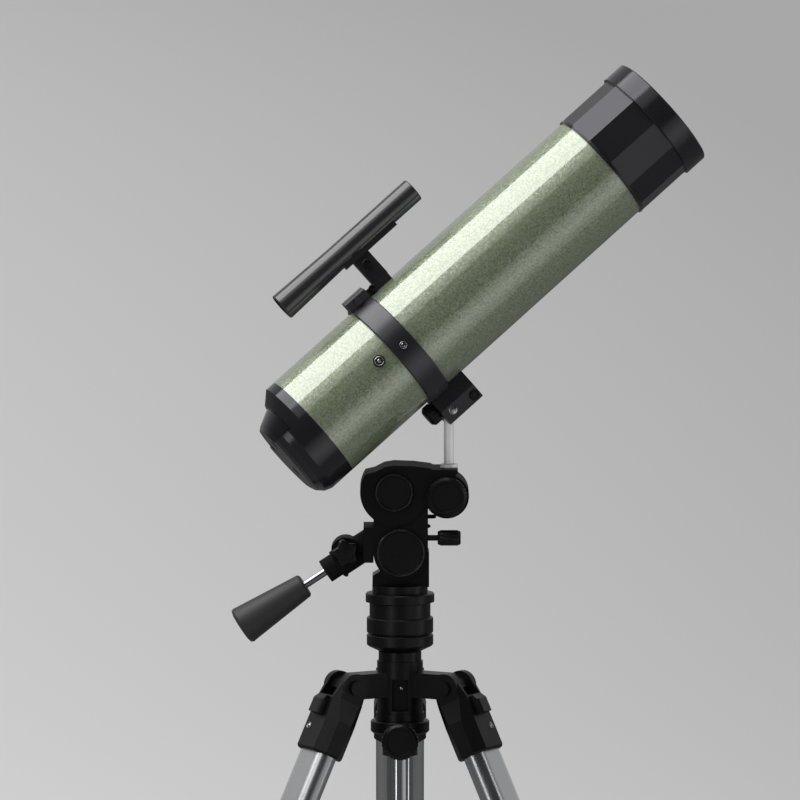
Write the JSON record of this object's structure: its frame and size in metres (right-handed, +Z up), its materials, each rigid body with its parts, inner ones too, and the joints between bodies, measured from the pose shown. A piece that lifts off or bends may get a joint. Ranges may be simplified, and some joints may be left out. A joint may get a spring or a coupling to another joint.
{
  "type": "telescope on tripod",
  "caption": "Short reflecting telescope with a sighting tube, carried on a pan and tilt head with a handle, on a folding tripod with telescoping legs.",
  "frame": {"origin": "on the floor, on the axis of the tripod's centre column", "axes": "+Z up along the centre column, +X towards the side the telescope points to, +Y away from the side with the knobs, towards the rear leg"},
  "size_m": [0.77, 0.669, 1.3227],
  "materials": {
    "green_metallic": "metallic flake lacquer, gloss",
    "cell_black": "moulded, polished",
    "fitting_black": "satin black enamel on cast alloy",
    "head_black": "fine satin black powder coat on die-cast alloy",
    "knob_black": "moulded, fine texture",
    "grip_black": "matte moulded grip",
    "foot_rubber": "matte",
    "leg_aluminium": "polished, drawn lengthways",
    "chrome": "polished",
    "steel": "turned and brushed",
    "flat_black": "flat optical black",
    "mirror": "front-silvered",
    "glass": "coated optical glass"
  },
  "bodies": {
    "hub": {"hub": "head_black", "leg_bolts": "steel", "column_collar": "head_black"},
    "leg_left": {"shoulder_left": "head_black", "upper_tube_left": "leg_aluminium", "leg_clamp_left": "head_black"},
    "lower_leg_left": {"lower_tube_left": "leg_aluminium", "foot_left": "foot_rubber"},
    "lever_left": {"clamp_lever_left": "knob_black"},
    "latch_left": {"angle_latch_left": "knob_black"},
    "leg_right": {"shoulder_right": "head_black", "upper_tube_right": "leg_aluminium", "leg_clamp_right": "head_black"},
    "lower_leg_right": {"lower_tube_right": "leg_aluminium", "foot_right": "foot_rubber"},
    "lever_right": {"clamp_lever_right": "knob_black"},
    "latch_right": {"angle_latch_right": "knob_black"},
    "leg_back": {"shoulder_back": "head_black", "upper_tube_back": "leg_aluminium", "leg_clamp_back": "head_black"},
    "lower_leg_back": {"lower_tube_back": "leg_aluminium", "foot_back": "foot_rubber"},
    "lever_back": {"clamp_lever_back": "knob_black"},
    "latch_back": {"angle_latch_back": "knob_black"},
    "column": {"column_tube": "chrome", "column_cap": "knob_black", "head_base": "head_black"},
    "column_lock": {"column_knob": "knob_black"},
    "pan": {"pan_body": "head_black"},
    "tilt": {"tilt_head": "head_black", "tilt_axle": "chrome", "head_covers": "knob_black", "handle_arm": "head_black", "mount_post": "chrome"},
    "tilt_lock": {"tilt_lock_knob": "knob_black"},
    "plate_lock": {"plate_knob": "knob_black"},
    "handle": {"handle_rod": "chrome", "handle_grip": "grip_black"},
    "handle_lock": {"handle_clamp_knob": "knob_black"},
    "telescope": {"main_tube": "green_metallic", "front_cell": "cell_black", "rear_cell": "cell_black", "mirror_plate": "flat_black", "primary_mirror": "mirror", "collimation_screws": "steel", "diagonal_mirror": "mirror", "spider": "flat_black", "tube_ring": "fitting_black", "mounting_shoe": "fitting_black", "tube_fasteners": "steel", "focuser_body": "fitting_black", "finder_bracket": "fitting_black", "finder_tube": "cell_black", "finder_lenses": "glass"},
    "shoe_lock": {"shoe_clamp_knob": "knob_black"},
    "focus": {"focus_shaft": "chrome", "focus_knobs": "knob_black"},
    "drawtube": {"drawtube": "chrome"},
    "eyepiece": {"eyepiece_body": "fitting_black", "eyepiece_lenses": "glass"}
  },
  "joints": [
    {"name": "leg_fold_left", "type": "hinge", "parent": "hub", "child": "leg_left", "pos_m": [-0.0485, -0.028, 0.7672], "axis": [0.5, -0.866, 0], "range_deg": [0, 24]},
    {"name": "leg_slide_left", "type": "slide", "parent": "leg_left", "child": "lower_leg_left", "axis": [-0.3728, -0.2153, -0.9026], "range_m": [-0.3, 0.05]},
    {"name": "clamp_lever_left", "type": "hinge", "parent": "leg_left", "child": "lever_left", "pos_m": [-0.23679, -0.13671, 0.36015], "axis": [-0.5, 0.866, 0], "range_deg": [0, 100]},
    {"name": "angle_latch_left", "type": "slide", "parent": "leg_left", "child": "latch_left", "axis": [-0.7817, -0.4513, 0.4305], "range_m": [0, 0.005]},
    {"name": "leg_fold_right", "type": "hinge", "parent": "hub", "child": "leg_right", "pos_m": [0.0485, -0.028, 0.7672], "axis": [0.5, 0.866, 0], "range_deg": [0, 24]},
    {"name": "leg_slide_right", "type": "slide", "parent": "leg_right", "child": "lower_leg_right", "axis": [0.3728, -0.2153, -0.9026], "range_m": [-0.3, 0.05]},
    {"name": "clamp_lever_right", "type": "hinge", "parent": "leg_right", "child": "lever_right", "pos_m": [0.23679, -0.13671, 0.36015], "axis": [-0.5, -0.866, 0], "range_deg": [0, 100]},
    {"name": "angle_latch_right", "type": "slide", "parent": "leg_right", "child": "latch_right", "axis": [0.7817, -0.4513, 0.4305], "range_m": [0, 0.005]},
    {"name": "leg_fold_back", "type": "hinge", "parent": "hub", "child": "leg_back", "pos_m": [0, 0.056, 0.7672], "axis": [-1, 0, 0], "range_deg": [0, 24]},
    {"name": "leg_slide_back", "type": "slide", "parent": "leg_back", "child": "lower_leg_back", "axis": [0, 0.4305, -0.9026], "range_m": [-0.3, 0.05]},
    {"name": "clamp_lever_back", "type": "hinge", "parent": "leg_back", "child": "lever_back", "pos_m": [0, 0.27342, 0.36015], "axis": [1, 0, 0], "range_deg": [0, 100]},
    {"name": "angle_latch_back", "type": "slide", "parent": "leg_back", "child": "latch_back", "axis": [0, 0.9026, 0.4305], "range_m": [0, 0.005]},
    {"name": "column_slide", "type": "slide", "parent": "hub", "child": "column", "axis": [0, 0, 1], "range_m": [0, 0.18]},
    {"name": "column_lock_knob", "type": "hinge", "parent": "hub", "child": "column_lock", "pos_m": [0, -0.0275, 0.7177], "axis": [0, -1, 0], "range_deg": [0, 360]},
    {"name": "pan", "type": "hinge", "parent": "column", "child": "pan", "pos_m": [0, 0, 0.8113], "axis": [0, 0, 1], "continuous": true},
    {"name": "tilt", "type": "hinge", "parent": "pan", "child": "tilt", "pos_m": [0.0007, 0, 0.8875], "axis": [0, 1, 0], "range_deg": [-20, 55]},
    {"name": "tilt_lock_knob", "type": "hinge", "parent": "tilt", "child": "tilt_lock", "pos_m": [0.0338, -0.0189, 0.9006], "axis": [1, 0, 0], "range_deg": [0, 270]},
    {"name": "plate_lock_knob", "type": "hinge", "parent": "tilt", "child": "plate_lock", "pos_m": [0.042, -0.0253, 0.9387], "axis": [0, -1, 0], "range_deg": [0, 360]},
    {"name": "handle_twist", "type": "hinge", "parent": "tilt", "child": "handle", "pos_m": [-0.067, 0, 0.868], "axis": [-0.8358, 0, -0.549], "range_deg": [-90, 90]},
    {"name": "handle_clamp_knob", "type": "hinge", "parent": "tilt", "child": "handle_lock", "pos_m": [-0.049, -0.0138, 0.88732], "axis": [0, -1, 0], "range_deg": [0, 270]},
    {"name": "altitude", "type": "hinge", "parent": "tilt", "child": "telescope", "pos_m": [0.044, 0, 1.0155], "axis": [-0.2164, 0.9763, 0], "range_deg": [0, 60]},
    {"name": "shoe_clamp_knob", "type": "hinge", "parent": "telescope", "child": "shoe_lock", "pos_m": [0.0324, -0.00257, 1.01396], "axis": [-0.7391, -0.1638, -0.6534], "range_deg": [0, 270]},
    {"name": "focus", "type": "hinge", "parent": "telescope", "child": "focus", "pos_m": [0.16125, 0.09174, 1.18019], "axis": [-0.7391, -0.1638, -0.6534], "range_deg": [-184, 505]},
    {"name": "drawtube_slide", "type": "slide", "parent": "telescope", "child": "drawtube", "axis": [-0.0791, 0.9844, -0.1574], "range_m": [-0.008, 0.022]},
    {"name": "eyepiece_slide", "type": "slide", "parent": "drawtube", "child": "eyepiece", "axis": [-0.0791, 0.9844, -0.1574], "range_m": [0, 0.018]}
  ],
  "couplings": [
    {"joint": "focus", "follows": "drawtube_slide", "rad_per_m": 400}
  ]
}
